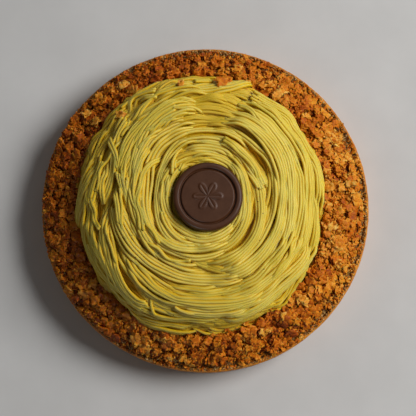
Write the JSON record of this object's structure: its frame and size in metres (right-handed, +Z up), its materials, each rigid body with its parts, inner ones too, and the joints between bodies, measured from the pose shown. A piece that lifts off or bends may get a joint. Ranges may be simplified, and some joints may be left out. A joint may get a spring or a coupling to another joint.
{
  "type": "mont blanc cake",
  "caption": "Round tart: a baked shell with dark crumb filling, a ring of crisp flakes, a dome of piped cream strands and a chocolate disc on top.",
  "frame": {"origin": "the middle of the flat underside, at the level it rests on", "axes": "+Z up through the chocolate disc; +X and +Y are the picture's right and up"},
  "size_m": [0.24, 0.24, 0.081],
  "materials": {
    "baked_shell": "matt baked pastry, golden brown",
    "dark_crumb": "matt coarse crumb, dark grey-brown with paler grains",
    "pastry_flakes": "crisp caramelised flakes, satin, orange-brown",
    "chestnut_cream": "soft satin cream, muted yellow",
    "dark_chocolate": "satin dark chocolate"
  },
  "bodies": {
    "root": {"tart_shell": "baked_shell", "crumb_filling": "dark_crumb", "flake_ring": "pastry_flakes", "cream_mound": "chestnut_cream", "chocolate_disc": "dark_chocolate"}
  },
  "joints": []
}
